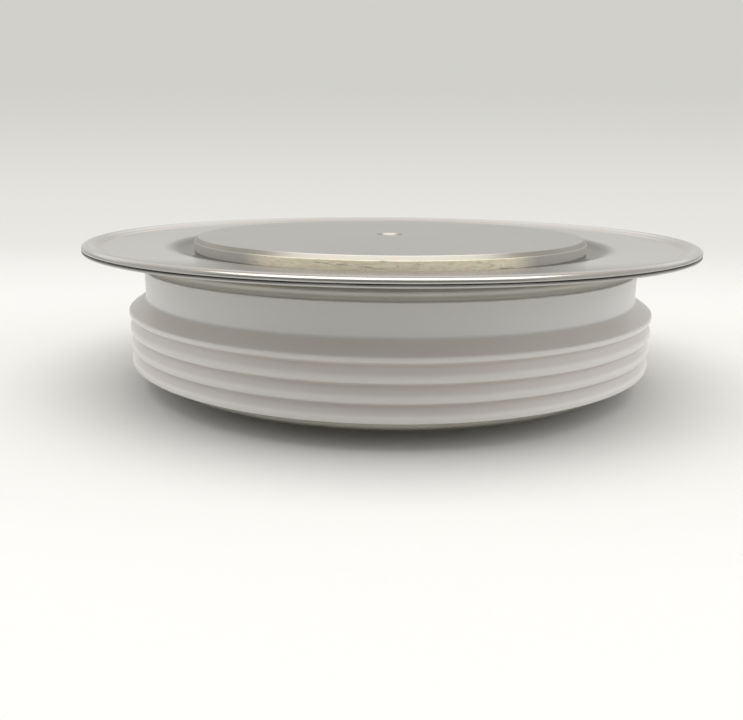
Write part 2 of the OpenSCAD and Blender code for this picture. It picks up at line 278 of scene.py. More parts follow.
def block(name: str, low: Point, high: Point) -> bpy.types.Object:
    """Box between two corners, used as a cutter.

    Args:
        name: Name of the object.
        low: Corner with the lowest coordinates.
        high: Corner with the highest coordinates.

    Returns:
        The new object.
    """
    corner = np.array([[x, y, z] for x in (0, 1) for y in (0, 1) for z in (0, 1)])
    points = np.array(low) + corner * (np.array(high) - np.array(low))
    faces = np.array([[0, 1, 3, 2], [4, 6, 7, 5], [0, 4, 5, 1], [2, 3, 7, 6], [0, 2, 6, 4], [1, 5, 7, 3]])
    return mesh_object(name, points, [faces])


def lay_along_y(piece: bpy.types.Object, height: float) -> None:
    """Turns a mesh from the Z axis to the Y axis, at a height in millimetres."""
    piece.data.transform(Matrix.Translation((0, 0, height * MM)) @ Matrix.Rotation(-math.pi / 2, 4, "X"))


# Shader graphs


class Graph:
    """Short way to add and join the nodes of one shader tree."""

    def __init__(self, tree: bpy.types.NodeTree) -> None:
        """Keeps the tree that is built."""
        self.tree = tree

    def add(self, kind: str, *values: object, **settings: object) -> bpy.types.Node:
        """Adds a node.

        Args:
            kind: Blender's name of the node's type, without its ShaderNode prefix.
            values: Values or sockets for the node's first inputs.
            settings: Values of the node's own properties.

        Returns:
            The new node.
        """
        prefix = "" if kind.startswith("NodeGroup") else "ShaderNode"
        node = self.tree.nodes.new(prefix + kind)
        for name, setting in settings.items():
            setattr(node, name, setting)
        for socket, value in zip(node.inputs, values):
            self.put(socket, value)
        return node

    def put(self, socket: Socket, value: object) -> None:
        """Links a socket into an input, or sets the input's own value.

        Args:
            socket: The input.
            value: Output that feeds it, or its plain value.
        """
        if isinstance(value, Socket):
            self.tree.links.new(value, socket)
        elif socket.type == "RGBA" and len(value) == 3:
            socket.default_value = (*value, 1.0)
        else:
            socket.default_value = value

    def feed(self, node: bpy.types.Node, **values: object) -> None:
        """Sets or links a node's inputs by their names, with underscores for spaces."""
        for name, value in values.items():
            self.put(node.inputs[name.replace("_", " ")], value)

    def math(self, operation: str, *values: object) -> Socket:
        """Adds a Math node and returns its result."""
        return self.add("Math", *values, operation=operation).outputs[0]

    def split(self, vector: Socket) -> Sockets:
        """Separates a vector into its three numbers."""
        return self.add("SeparateXYZ", vector).outputs

    def radius(self, vector: Socket) -> Socket:
        """Length of a vector's level part, which is a place's distance from the axis."""
        level = self.add("VectorMath", vector, (1.0, 1.0, 0.0), operation="MULTIPLY").outputs[0]
        return self.add("VectorMath", level, operation="LENGTH").outputs["Value"]

    def ramp(
        self, value: object, low: float, high: float, to_low: float = 0.0, to_high: float = 1.0
    ) -> Socket:
        """Smooth step of a value from one range to another.

        Args:
            value: Input value or socket.
            low: Input at which the result is to_low.
            high: Input at which the result is to_high.
            to_low: Result at and before low.
            to_high: Result at and after high.

        Returns:
            The result's socket.
        """
        limits = (low, high, to_low, to_high)
        return self.add("MapRange", value, *limits, interpolation_type="SMOOTHSTEP").outputs[0]

    def mix(self, share: object, first: object, second: object) -> Socket:
        """Mixes two colours.

        Args:
            share: Share of the second colour.
            first: First colour or its socket.
            second: Second colour or its socket.

        Returns:
            The mixed colour's socket.
        """
        node = self.add("Mix", share, data_type="RGBA")
        self.put(node.inputs[6], first)
        self.put(node.inputs[7], second)
        return node.outputs[2]

    def noise(self, vector: Socket, scale: float, detail: float = 3.0, rough: float = 0.55) -> Socket:
        """Adds a noise pattern.

        Args:
            vector: Place that the pattern depends on.
            scale: Scale of the coarsest layer.
            detail: Number of finer layers.
            rough: Weight of each layer against the coarser one.

        Returns:
            The pattern's socket, with values around a half.
        """
        node = self.add("TexNoise")
        self.feed(node, Vector=vector, Scale=scale, Detail=detail, Roughness=rough)
        return node.outputs[0]


Pattern = Callable[[Graph, Sockets], tuple[Socket, ...]]


@dataclass
class Effect:
    """Node group that several finishes share, built when it is first used."""

    name: str
    values: tuple[str, ...]
    masks: tuple[str, ...]
    draw: Pattern

    @functools.cached_property
    def tree(self) -> bpy.types.NodeTree:
        """Group with the input Vector, the named value inputs and the named mask outputs.

        Returns:
            The node group.
        """
        tree = bpy.data.node_groups.new(self.name, "ShaderNodeTree")
        tree.interface.new_socket(name="Vector", in_out="INPUT", socket_type="NodeSocketVector")
        for side, labels in (("INPUT", self.values), ("OUTPUT", self.masks)):
            for label in labels:
                tree.interface.new_socket(name=label, in_out=side, socket_type="NodeSocketFloat")
        graph = Graph(tree)
        given = graph.add("NodeGroupInput").outputs
        graph.add("NodeGroupOutput", *self.draw(graph, given))
        return tree


def draw_turned(graph: Graph, given: Sockets) -> tuple[Socket, ...]:
    """Lines of a lathe tool around the axis.

    The pattern is a noise of radius and height alone, so on a face it makes rings and on a wall it
    makes hoops. A coarse noise of the place fades the lines in and out.

    Args:
        graph: The group's graph.
        given: Its inputs, Vector and Lines per metre.

    Returns:
        The marks, around a half.
    """
    fade_scale, fade_span, faintest = 60.0, (0.35, 0.65), 0.4
    radius = graph.math("MULTIPLY", graph.radius(given["Vector"]), given["Lines"])
    height = graph.math("MULTIPLY", graph.split(given["Vector"])[2], given["Lines"])
    lines = graph.noise(graph.add("CombineXYZ", radius, height).outputs[0], 1.0, 2.0)
    fade = graph.ramp(graph.noise(given["Vector"], fade_scale, 2.0), *fade_span, faintest, 1.0)
    centred = graph.math("MULTIPLY", graph.math("SUBTRACT", lines, 0.5), fade)
    return (graph.math("ADD", centred, 0.5),)


def draw_stains(graph: Graph, given: Sockets) -> tuple[Socket, ...]:
    """Soft clouds and small specks on a handled or plated surface.

    Args:
        graph: The group's graph.
        given: Its inputs, Vector and Size per metre.

    Returns:
        The clouds and the specks.
    """
    cloud_span, speck_scale, speck_span = (0.32, 0.68), 26.0, (0.66, 0.76)
    scaled = graph.add("VectorMath", given["Vector"], operation="SCALE")
    graph.feed(scaled, Scale=given["Size"])
    clouds = graph.noise(scaled.outputs[0], 1.0, 5.0, 0.6)
    specks = graph.noise(scaled.outputs[0], speck_scale, 2.0, 0.5)
    return graph.ramp(clouds, *cloud_span), graph.ramp(specks, *speck_span)


def draw_streaks(graph: Graph, given: Sockets) -> tuple[Socket, ...]:
    """Streaks that run level around the axis, as rubbing and handling leave on a wall.

    The pattern is a noise of the place, coarse along X and Y and fine along Z.

    Args:
        graph: The group's graph.
        given: Its inputs, Vector, and Along and Across per metre.

    Returns:
        The streaks, around a half.
    """
    scale = graph.add("CombineXYZ", given["Along"], given["Along"], given["Across"]).outputs[0]
    stretched = graph.add("VectorMath", given["Vector"], scale, operation="MULTIPLY").outputs[0]
    return (graph.noise(stretched, 1.0),)


def near(graph: Graph, value: Socket, middle: Socket, width: Socket) -> Socket:
    """Nearness of a value to a middle: one there, and zero at the width from it and below beyond.

    Args:
        graph: Graph that the nodes go into.
        value: The value.
        middle: Value at which the result is one.
        width: Distance at which the result is zero.

    Returns:
        The nearness.
    """
    away = graph.math("ABSOLUTE", graph.math("SUBTRACT", value, middle))
    return graph.math("SUBTRACT", 1.0, graph.math("DIVIDE", away, width))


def draw_level(graph: Graph, given: Sockets) -> tuple[Socket, ...]:
    """Painted shade at one level along the axis, at a seam between parts, made patchy.

    Args:
        graph: The group's graph.
        given: Its inputs, Vector, Level and Width.

    Returns:
        The mask of the painted shade.
    """
    patch_scale, patch_span, faintest = 70.0, (0.25, 0.6), 0.75
    joint_shade = near(graph, graph.split(given["Vector"])[2], given["Level"], given["Width"])
    patchy = graph.ramp(graph.noise(given["Vector"], patch_scale), *patch_span, faintest, 1.0)
    return (graph.math("MULTIPLY", graph.ramp(joint_shade, 0.0, 1.0), patchy),)


def draw_ring(graph: Graph, given: Sockets) -> tuple[Socket, ...]:
    """Ragged ring at one radius around the axis, as a tint or a tide mark.

    Args:
        graph: The group's graph.
        given: Its inputs, Vector, Radius, Middle, Width and Ragged.

    Returns:
        The mask of the ring.
    """
    wander_scale, patch_scale, patch_span, faintest, full = 90.0, 45.0, (0.3, 0.6), 0.35, 0.8
    wander = graph.math("SUBTRACT", graph.noise(given["Vector"], wander_scale, 4.0, 0.6), 0.5)
    stray = graph.math("MULTIPLY", wander, given["Ragged"])
    band = near(graph, graph.math("ADD", given["Radius"], stray), given["Middle"], given["Width"])
    patchy = graph.ramp(graph.noise(given["Vector"], patch_scale), *patch_span, faintest, 1.0)
    return (graph.math("MULTIPLY", graph.ramp(band, 0.0, full), patchy),)


TURNED = Effect("turned", ("Lines",), ("Marks",), draw_turned)
STAINS = Effect("stains", ("Size",), ("Clouds", "Specks"), draw_stains)
STREAKS = Effect("streaks", ("Along", "Across"), ("Value",), draw_streaks)
LEVEL = Effect("level", ("Level", "Width"), ("Mask",), draw_level)
RING = Effect("ring", ("Radius", "Middle", "Width", "Ragged"), ("Mask",), draw_ring)


class Surface:
    """One material: its graph, its Object coordinates and its Principled shader."""

    def __init__(self, name: str) -> None:
        """Makes an empty material with a Principled shader."""
        self.material = bpy.data.materials.new(name)
        self.material.use_nodes = True
        self.material.node_tree.nodes.clear()
        self.graph = Graph(self.material.node_tree)
        self.shader = self.graph.add("BsdfPrincipled")
        self.output = self.graph.add("OutputMaterial", self.shader.outputs[0])
        self.place = self.graph.add("TexCoord").outputs["Object"]

    def group(self, effect: Effect, **values: object) -> Sockets:
        """Places a shared effect with this surface's coordinates.

        Args:
            effect: The effect.
            values: Its own input values or sockets.

        Returns:
            The effect's outputs.
        """
        node = self.graph.add("Group", node_tree=effect.tree)
        self.graph.feed(node, Vector=self.place, **values)
        return node.outputs

    def set(self, **values: object) -> None:
        """Sets or links the shader's inputs by their names, with underscores for spaces."""
        self.graph.feed(self.shader, **values)

    def bump(self, height: Socket, depth: float, strength: float = 1.0) -> None:
        """Gives the shader a bump.

        Args:
            height: Height from zero to one.
            depth: Depth in metres of a height of one.
            strength: Strength of the bump.
        """
        node = self.graph.add("Bump")
        self.graph.feed(node, Strength=strength, Distance=depth, Height=height)
        self.set(Normal=node.outputs[0])


# Sizes that the pieces share


@dataclass(frozen=True)
class Capsule:
    """Sizes that the pieces share, in millimetres."""

    height: float = 26.0
    pole_r: float = 36.6
    ledge_r: float = 38.6
    bore_r: float = 40.5
    neck_r: float = 45.5
    rib_r: float = 48.55
    flange_r: float = 55.5
    sheet: float = 0.5
    face_lift: float = 2.25
    weld_depth: float = 1.26
    weld_width: float = 2.6
    weld_step: float = 0.26
    weld_step_run: float = 0.5
    skirt_height: float = 3.89
    lower_skirt_height: float = 2.2
    skirt_r: float = 45.05
    foot_width: float = 2.8
    bend_r: float = 0.5
    gate_z: float = 18.46
    gate_r: float = 1.2

    @property
    def weld_z(self) -> float:
        """Level of the plane in which the two sheets are welded."""
        return self.height - self.weld_depth

    @property
    def weld_inner_r(self) -> float:
        """Inner radius of the welded band."""
        return self.flange_r - self.weld_width

    @property
    def ceramic_top(self) -> float:
        """Level of the ceramic's upper end."""
        return self.weld_z - self.skirt_height

    @property
    def ceramic_base(self) -> float:
        """Level of the ceramic's lower end."""
        return self.face_lift + self.lower_skirt_height


# Finishes


@dataclass(frozen=True)
class Finish:
    """Finish of one kind of piece."""

    name: str

    def paint(self, surface: Surface) -> None:
        """Draws the finish on a surface, as each kind of finish says."""
        raise NotImplementedError

    def build(self) -> bpy.types.Material:
        """Builds the material.

        Returns:
            The new material.
        """
        surface = Surface(self.name)
        self.paint(surface)
        return surface.material


@dataclass(frozen=True)
class PlatedMetal(Finish):
    """Dull nickel plating on a turned pole, whose side wall is streaked and scratched, and pale and yellowed
    on its front side only: partly wear, partly a painted reflection of the bright lid.
    """

    name: str = "plated_pole"
    light: Colour = (0.475, 0.47, 0.45)
    dark: Colour = (0.45, 0.445, 0.425)
    # The pale front tones of the wall are partly wear and partly a painted reflection of the bright lid.
    wall_light: Colour = (1.0, 0.95, 0.77)
    wall_dark: Colour = (0.88, 0.755, 0.57)
    wall_grey: Colour = (0.44, 0.43, 0.395)
    scratch: Colour = (0.24, 0.20, 0.15)
    # Dark colour of the bevel and the hole's mouth: painted shade that dims their highlights.
    rim: Colour = (0.30, 0.288, 0.255)
    roughness: Pair = (0.30, 0.36)
    wall_roughness: float = 0.6
    wall_metallic: float = 0.2
    wall_radius: float = 0.0366
    wall_fade: Pair = (0.0001, 0.00004)
    rim_width: float = 0.0007
    mouth_radius: float = 0.00255
    soft: float = 0.0001
    pale_front_reach: Pair = (-0.0325, -0.028)
    stain_scale: float = 40.0
    mark_share: float = 0.3
    rub_scale: Pair = (700.0, 3400.0)
    rub_span: Pair = (0.3, 0.66)
    scratch_scale: Pair = (260.0, 3600.0)
    scratch_span: Pair = (0.60, 0.72)
    scratch_share: float = 0.7
    speck_share: float = 0.45
    grain_scale: float = 9000.0
    grain_share: float = 0.35
    lines: float = 5200.0
    depth: float = 0.000001

    def wall_colour(self, surface: Surface, specks: Socket) -> Socket:
        """Colour of the side wall: streaked, scratched and specked in front, with a pale front tone that is
        partly a painted reflection, and grey behind.

        Args:
            surface: Surface that is painted.
            specks: Mask of the specks.

        Returns:
            The colour.
        """
        graph = surface.graph
        rubbed, deep = (
            surface.group(STREAKS, Along=along, Across=across)["Value"]
            for along, across in (self.rub_scale, self.scratch_scale)
        )
        side = graph.mix(graph.ramp(rubbed, *self.rub_span), self.wall_dark, self.wall_light)
        scratches = graph.ramp(deep, *self.scratch_span, 0.0, self.scratch_share)
        specks = graph.math("MULTIPLY", specks, self.speck_share)
        side = graph.mix(graph.math("MAXIMUM", scratches, specks), side, self.scratch)
        # Only the front of the wall gets the pale tones: partly wear, partly a painted reflection of the
        # lid.
        behind = graph.ramp(graph.split(surface.place)[1], *self.pale_front_reach)
        return graph.mix(behind, side, self.wall_grey)

    def paint(self, surface: Surface) -> None:
        """Draws the face, its bevelled rim and hole mouth, painted dark as painted shade that dims their
        highlights, and the wall.

        Args:
            surface: Surface that is painted.
        """
        graph, radius = surface.graph, surface.graph.radius(surface.place)
        marks = surface.group(TURNED, Lines=self.lines)["Marks"]
        stains = surface.group(STAINS, Size=self.stain_scale)
        grain = graph.noise(surface.place, self.grain_scale, 2.0)
        face = graph.mix(stains["Clouds"], self.dark, self.light)
        face = graph.mix(graph.ramp(marks, *NOISE_SPAN, 0.0, self.mark_share), face, self.light)
        # The bevel and the hole's mouth are painted dark: painted shade that dims their highlights.
        rim_radius = self.wall_radius - self.rim_width
        rim = graph.ramp(radius, rim_radius - self.soft, rim_radius + self.soft)
        mouth = graph.ramp(radius, self.mouth_radius - self.soft, self.mouth_radius, 1.0, 0.0)
        face = graph.mix(graph.math("MAXIMUM", rim, mouth), face, self.rim)
        wall = graph.ramp(radius, *(self.wall_radius - inset for inset in self.wall_fade))
        satin = graph.ramp(grain, *NOISE_SPAN, *self.roughness)
        worn = graph.math("MULTIPLY", wall, self.wall_roughness - self.roughness[1])
        surface.set(
            Base_Color=graph.mix(wall, face, self.wall_colour(surface, stains["Specks"])),
            Metallic=graph.ramp(wall, 0.0, 1.0, 1.0, self.wall_metallic),
            Roughness=graph.math("ADD", satin, worn),
        )
        surface.bump(graph.math("MULTIPLY_ADD", grain, self.grain_share, marks), self.depth)


@dataclass(frozen=True)
class FlangeSheet(Finish):
    """Satin plated sheet: painted shade in the trough and on the front, coppery crease, pale welded band,
    painted light and shade on the tip.

    The radii are metres from the axis, and a crease or trough radius that is zero leaves its band out.
    """

    light: Colour = (0.70, 0.69, 0.668)
    dark: Colour = (0.66, 0.648, 0.625)
    copper: Colour = (0.60, 0.50, 0.45)
    # Colour of the specks, and of the painted shade in the trough beside the pole.
    dull: Colour = (0.365, 0.357, 0.345)
    # Painted shade on the front of the lid, toward the camera.
    shade: Colour = (0.48, 0.465, 0.465)
    front_shade_tint: Colour = (0.80, 0.79, 0.80)
    trough_shade_tint: Colour = (0.66, 0.66, 0.655)
    band: Colour = (0.70, 0.692, 0.68)
    band_shade: Colour = (0.465, 0.437, 0.41)
    # Tip tone: a painted shade on the lid's tip; the skirt finish gives a lighter one, a painted highlight.
    edge: Colour = (0.42, 0.41, 0.392)
    # Colour of the painted shade in the seam and along the foot.
    seam: Colour = (0.06, 0.06, 0.058)
    roughness: Pair = (0.17, 0.22)
    crease_radius: float = 0.0
    crease_width: float = 0.0009
    crease_ragged: float = 0.0005
    crease_share: float = 0.4
    soft: float = 0.0004
    dull_radius: float = 0.0
    trough_shade_fade: float = 0.003
    trough_shade_share: float = 0.9
    shade_reach: Pair = (-0.046, -0.030)
    shade_share: float = 0.85
    edge_radius: float = 0.0
    edge_fade: Pair = (0.00026, 0.00005)
    brim_fade: Pair = (0.001, 0.0005)
    seam_level: float = 0.0
    seam_width: float = 0.0003
    foot_level: float = 0.0
    foot_width: float = 0.001
    foot_share: float = 0.5
    stain_scale: float = 36.0
    speck_share: float = 0.15
    mark_span: Pair = (0.35, 0.7)
    mark_share: float = 0.2
    grain_scale: float = 7000.0
    grain_share: float = 0.3
    lines: float = 6500.0
    depth: float = 0.0000002

    @classmethod
    def for_lid(cls, capsule: Capsule) -> "FlangeSheet":
        """Finish of the lid, with its trough, crease, welded band and seam.

        Args:
            capsule: Sizes that the pieces share.

        Returns:
            The finish.
        """
        trough_shade_width, seam_lift = 5.6, 0.08
        return cls(
            "lid_sheet",
            seam=(0.42, 0.415, 0.40),
            crease_radius=capsule.weld_inner_r * MM,
            dull_radius=(capsule.pole_r + trough_shade_width) * MM,
            edge_radius=capsule.flange_r * MM,
            seam_level=(capsule.weld_z + seam_lift) * MM,
        )

    @classmethod
    def for_skirt(cls, capsule: Capsule) -> "FlangeSheet":
        """Rougher finish of the sheets below the lid, painted dark olive as painted shade under the lid and
        the ribs, with the seam and the foot on the ceramic.

        Args:
            capsule: Sizes that the pieces share.

        Returns:
            The finish.
        """
        return cls(
            "skirt_sheet",
            # Dark olive tones: painted shade under the lid and the ribs.
            light=(0.42, 0.41, 0.37),
            dark=(0.38, 0.37, 0.33),
            # Lighter tip: a painted highlight on the housing sheet's tip.
            edge=(0.55, 0.54, 0.53),
            roughness=(0.44, 0.50),
            edge_radius=capsule.flange_r * MM,
            seam_level=capsule.weld_z * MM,
            seam_width=0.00045,
            foot_level=capsule.ceramic_top * MM,
        )

    def top_colour(self, surface: Surface, radius: Socket, colour: Socket) -> Socket:
        """Tones of the lid's top, and the tint of its mirroring at grazing angles.

        Args:
            surface: Surface that is painted.
            radius: Distance from the axis.
            colour: Colour of the plain sheet.

        Returns:
            The colour with painted shade in the trough and on the front, the welded band and the crease.
        """
        graph = surface.graph
        full_trough_shade = self.dull_radius - self.trough_shade_fade
        # Painted shade in the trough beside the pole, in the colour and in a weaker reflection.
        inside = graph.ramp(radius, full_trough_shade, self.dull_radius, self.trough_shade_share, 0.0)
        # Painted shade on the front of the lid, toward the camera, in the colour, the band and a weaker
        # reflection.
        front_shade_mask = graph.ramp(graph.split(surface.place)[1], *self.shade_reach, self.shade_share, 0.0)
        within = graph.ramp(radius, self.crease_radius - self.soft, self.crease_radius, 1.0, 0.0)
        beyond = graph.ramp(radius, self.crease_radius, self.crease_radius + self.soft)
        tint = graph.mix(graph.math("MULTIPLY", front_shade_mask, within), WHITE, self.front_shade_tint)
        surface.set(Specular_Tint=graph.mix(inside, tint, self.trough_shade_tint))
        colour = graph.mix(inside, colour, self.dull)
        colour = graph.mix(front_shade_mask, colour, self.shade)
        colour = graph.mix(beyond, colour, graph.mix(front_shade_mask, self.band, self.band_shade))
        crease = surface.group(RING, Radius=radius, Middle=self.crease_radius, Width=self.crease_width,
                               Ragged=self.crease_ragged)["Mask"]
        return graph.mix(graph.math("MULTIPLY", crease, self.crease_share), colour, self.copper)

    def paint(self, surface: Surface) -> None:
        """Draws the plain sheet, then the bands that its radii and levels ask for.

        Args:
            surface: Surface that is painted.
        """
        graph, radius = surface.graph, surface.graph.radius(surface.place)
        marks = surface.group(TURNED, Lines=self.lines)["Marks"]
        stains = surface.group(STAINS, Size=self.stain_scale)
        grain = graph.noise(surface.place, self.grain_scale, 2.0)
        colour = graph.mix(stains["Clouds"], self.dark, self.light)
        colour = graph.mix(graph.ramp(marks, *self.mark_span, 0.0, self.mark_share), colour, self.light)
        colour = graph.mix(graph.math("MULTIPLY", stains["Specks"], self.speck_share), colour, self.dull)
        if self.crease_radius:
            colour = self.top_colour(surface, radius, colour)
        # The tip is painted in its own tone: painted shade on the lid, painted highlight on the housing
        # sheet.
        tip_tone_mask = graph.ramp(radius, *(self.edge_radius - inset for inset in self.edge_fade))
        colour = graph.mix(tip_tone_mask, colour, self.edge)
        # Painted shade in the seam between the sheets, near their tips.
        joint_shade = surface.group(LEVEL, Level=self.seam_level, Width=self.seam_width)["Mask"]
        brim = graph.ramp(radius, *(self.edge_radius - inset for inset in self.brim_fade))
        colour = graph.mix(graph.math("MULTIPLY", joint_shade, brim), colour, self.seam)
        if self.foot_level:
            # Painted shade along the foot, where the skirt meets the ceramic.
            foot = surface.group(LEVEL, Level=self.foot_level, Width=self.foot_width)["Mask"]
            colour = graph.mix(graph.math("MULTIPLY", foot, self.foot_share), colour, self.seam)
        rough = graph.ramp(grain, *NOISE_SPAN, *self.roughness)
        surface.set(Base_Color=colour, Metallic=1.0, Roughness=rough)
        surface.bump(graph.math("MULTIPLY_ADD", grain, self.grain_share, marks), self.depth)


@dataclass(frozen=True)
class Glaze(Finish):
    """White alumina under a satin glaze, full white on the rib lips, with a mottled painted shade between
    them and a greyer painted shade on the neck.
    """

    name: str = "glazed_ceramic"
    lip_tone: Colour = (0.86, 0.84, 0.805)
    # Mottled painted shade of the shoulder, cones and grooves.
    cone_shade: Colour = (0.735, 0.70, 0.665)
    warm_cone_shade: Colour = (0.725, 0.682, 0.64)
    # Greyer painted shade of the neck under the lid.
    neck: Colour = (0.76, 0.752, 0.738)
    speck: Colour = (0.62, 0.59, 0.54)
    roughness: Pair = (0.30, 0.38)
    ior: float = 1.52
    coat: float = 0.25
    coat_roughness: float = 0.2
    neck_radius: float = 0.0
    neck_fade: Pair = (0.0001, 0.0006)
    lip_radius: float = 0.0
    lip_fade: Pair = (0.0004, 0.00005)
    stain_scale: float = 55.0
    pinhole_scale: float = 2600.0
    pinhole_span: Pair = (0.76, 0.82)
    pinhole_share: float = 0.6
    pinhole_depth: float = 0.5
    lines: float = 1400.0
    ripple: float = 0.000003
    ripple_strength: float = 0.5

    def paint(self, surface: Surface) -> None:
        """Draws the painted shade between the lips and on the neck, the white lips and the pinholes.

        Args:
            surface: Surface that is painted.
        """
        graph, radius = surface.graph, surface.graph.radius(surface.place)
        marks = surface.group(TURNED, Lines=self.lines)["Marks"]
        clouds = surface.group(STAINS, Size=self.stain_scale)["Clouds"]
        # Only the lips keep the full white: the shoulder, cones and grooves get a mottled painted shade, and
        # the neck a greyer painted shade.
        lips = graph.ramp(radius, *(self.lip_radius - inset for inset in self.lip_fade))
        neck = graph.ramp(radius, *(self.neck_radius + width for width in self.neck_fade), 1.0, 0.0)
        colour = graph.mix(lips, graph.mix(clouds, self.cone_shade, self.warm_cone_shade), self.lip_tone)
        colour = graph.mix(neck, colour, self.neck)
        pits = graph.noise(surface.place, self.pinhole_scale, 1.0)
        pinholes = graph.ramp(pits, *self.pinhole_span, 0.0, self.pinhole_share)
        colour = graph.mix(pinholes, colour, self.speck)
        rough = graph.ramp(marks, *NOISE_SPAN, *self.roughness)
        surface.set(Base_Color=colour, Roughness=rough, IOR=self.ior, Coat_Weight=self.coat,
                    Coat_Roughness=self.coat_roughness)
        sunk = graph.math("MULTIPLY", pinholes, self.pinhole_depth)
        surface.bump(graph.math("SUBTRACT", marks, sunk), self.ripple, self.ripple_strength)


@dataclass(frozen=True)
class Plain(Finish):
    """Finish of a piece inside the capsule: two tones, a grain and a range of roughness."""

    light: Colour
    dark: Colour
    metallic: float
    roughness: Pair
    grain_scale: float = 900.0
    stain_scale: float = 120.0
    tone_span: Pair = (0.25, 0.75)
    depth: float = 0.000004

    def paint(self, surface: Surface) -> None:
        """Draws the two tones by the mean of the clouds and the grain.

        Args:
            surface: Surface that is painted.
        """
        graph = surface.graph
        clouds = surface.group(STAINS, Size=self.stain_scale)["Clouds"]
        grain = graph.noise(surface.place, self.grain_scale, 4.0)
        mean = graph.math("MULTIPLY", graph.math("ADD", clouds, grain), 0.5)
        colour = graph.mix(graph.ramp(mean, *self.tone_span), self.dark, self.light)
        rough = graph.ramp(grain, *NOISE_SPAN, *self.roughness)
        surface.set(Base_Color=colour, Metallic=self.metallic, Roughness=rough)
        surface.bump(grain, self.depth)


# Sub-assemblies


class Face(Enum):
    """Which of the two contact faces a pole carries."""

    LOWER = "anode_pole"
    UPPER = "cathode_pole"


def place(piece: bpy.types.Object, node: str, material: bpy.types.Material) -> None:
    """Dresses a piece and puts it in its CAD node's place.

    Args:
        piece: The new piece.
        node: CAD node that it stands for.
        material: Finish of the piece.
    """
    piece.data.materials.clear()
    piece.data.materials.append(material)
    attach(piece, BODY)
    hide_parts(node)
    log.info("%s: %d faces in place of %s", piece.name, len(piece.data.polygons), node)


@dataclass
class ContactPole:
    """Turned copper pole with a chamfered contact face, a centring hole and a ledge for the sheet."""

    capsule: Capsule
    face: Face
    chamfer: float = 0.75
    hole_r: float = 1.75
    hole_depth: float = 3.0
    countersink: float = 0.8
    ledge_thickness: float = 1.2
    body_step: float = 0.6
    end_r: float = 34.8
    end_chamfer: float = 1.2
    edge_r: float = 0.09
    pocket_r: float = 4.6
    pocket_end: float = 4.2
    slot_width: float = 2.6
    slot_end: float = 6.24
    cutter_spare: float = 1.0

    def length(self) -> float:
        """Distance from the contact face to the inner end, from the CAD node's box."""
        low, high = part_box(self.face.value)
        return (high[2] - low[2]) / MM

    def profile(self) -> np.ndarray:
        """Outline from the middle of the contact face, around the outside, to the inner end.

        Returns:
            The points of the outline, with heights from the contact face.
        """
        c = self.capsule
        seat = c.face_lift + c.sheet
        body_r = c.pole_r - self.body_step
        length = self.length()
        corners = [
            (0.0, self.hole_depth),
            (self.hole_r, self.hole_depth),
            (self.hole_r, self.countersink),
            (self.hole_r + self.countersink, 0.0),
            (c.pole_r - self.chamfer, 0.0),
            (c.pole_r, self.chamfer),
            (c.pole_r, seat),
            (c.ledge_r, seat),
            (c.ledge_r, seat + self.ledge_thickness),
            (body_r, seat + self.ledge_thickness),
            (body_r, length - self.end_chamfer),
            (self.end_r, length),
        ]
        if self.face is Face.UPPER:
            corners += [(self.pocket_r, length), (self.pocket_r, self.pocket_end), (0.0, self.pocket_end)]
        else:
            corners += [(0.0, length)]
        outline = np.array(corners)
        return hold_flats(round_corners(outline, np.full(len(outline) - 2, self.edge_r)))

    def build(self, material: bpy.types.Material) -> None:
        """Builds the pole, upside down for the upper face, with the upper one's lead slot.

        Args:
            material: Finish of the pole.
        """
        c = self.capsule
        outline = self.profile()
        if self.face is Face.UPPER:
            outline = np.column_stack([outline[:, 0], c.height - outline[:, 1]])[::-1]
        piece = revolve(self.face.name.lower() + "_pole", outline, closed=False)
        if self.face is Face.UPPER:
            half = self.slot_width / 2
            low = (-half, 0.0, c.height - self.length() - self.cutter_spare)
            high = (half, c.ledge_r + self.cutter_spare, c.height - self.slot_end)
            cut(piece, block("lead_slot", low, high))
        place(piece, self.face.value, material)


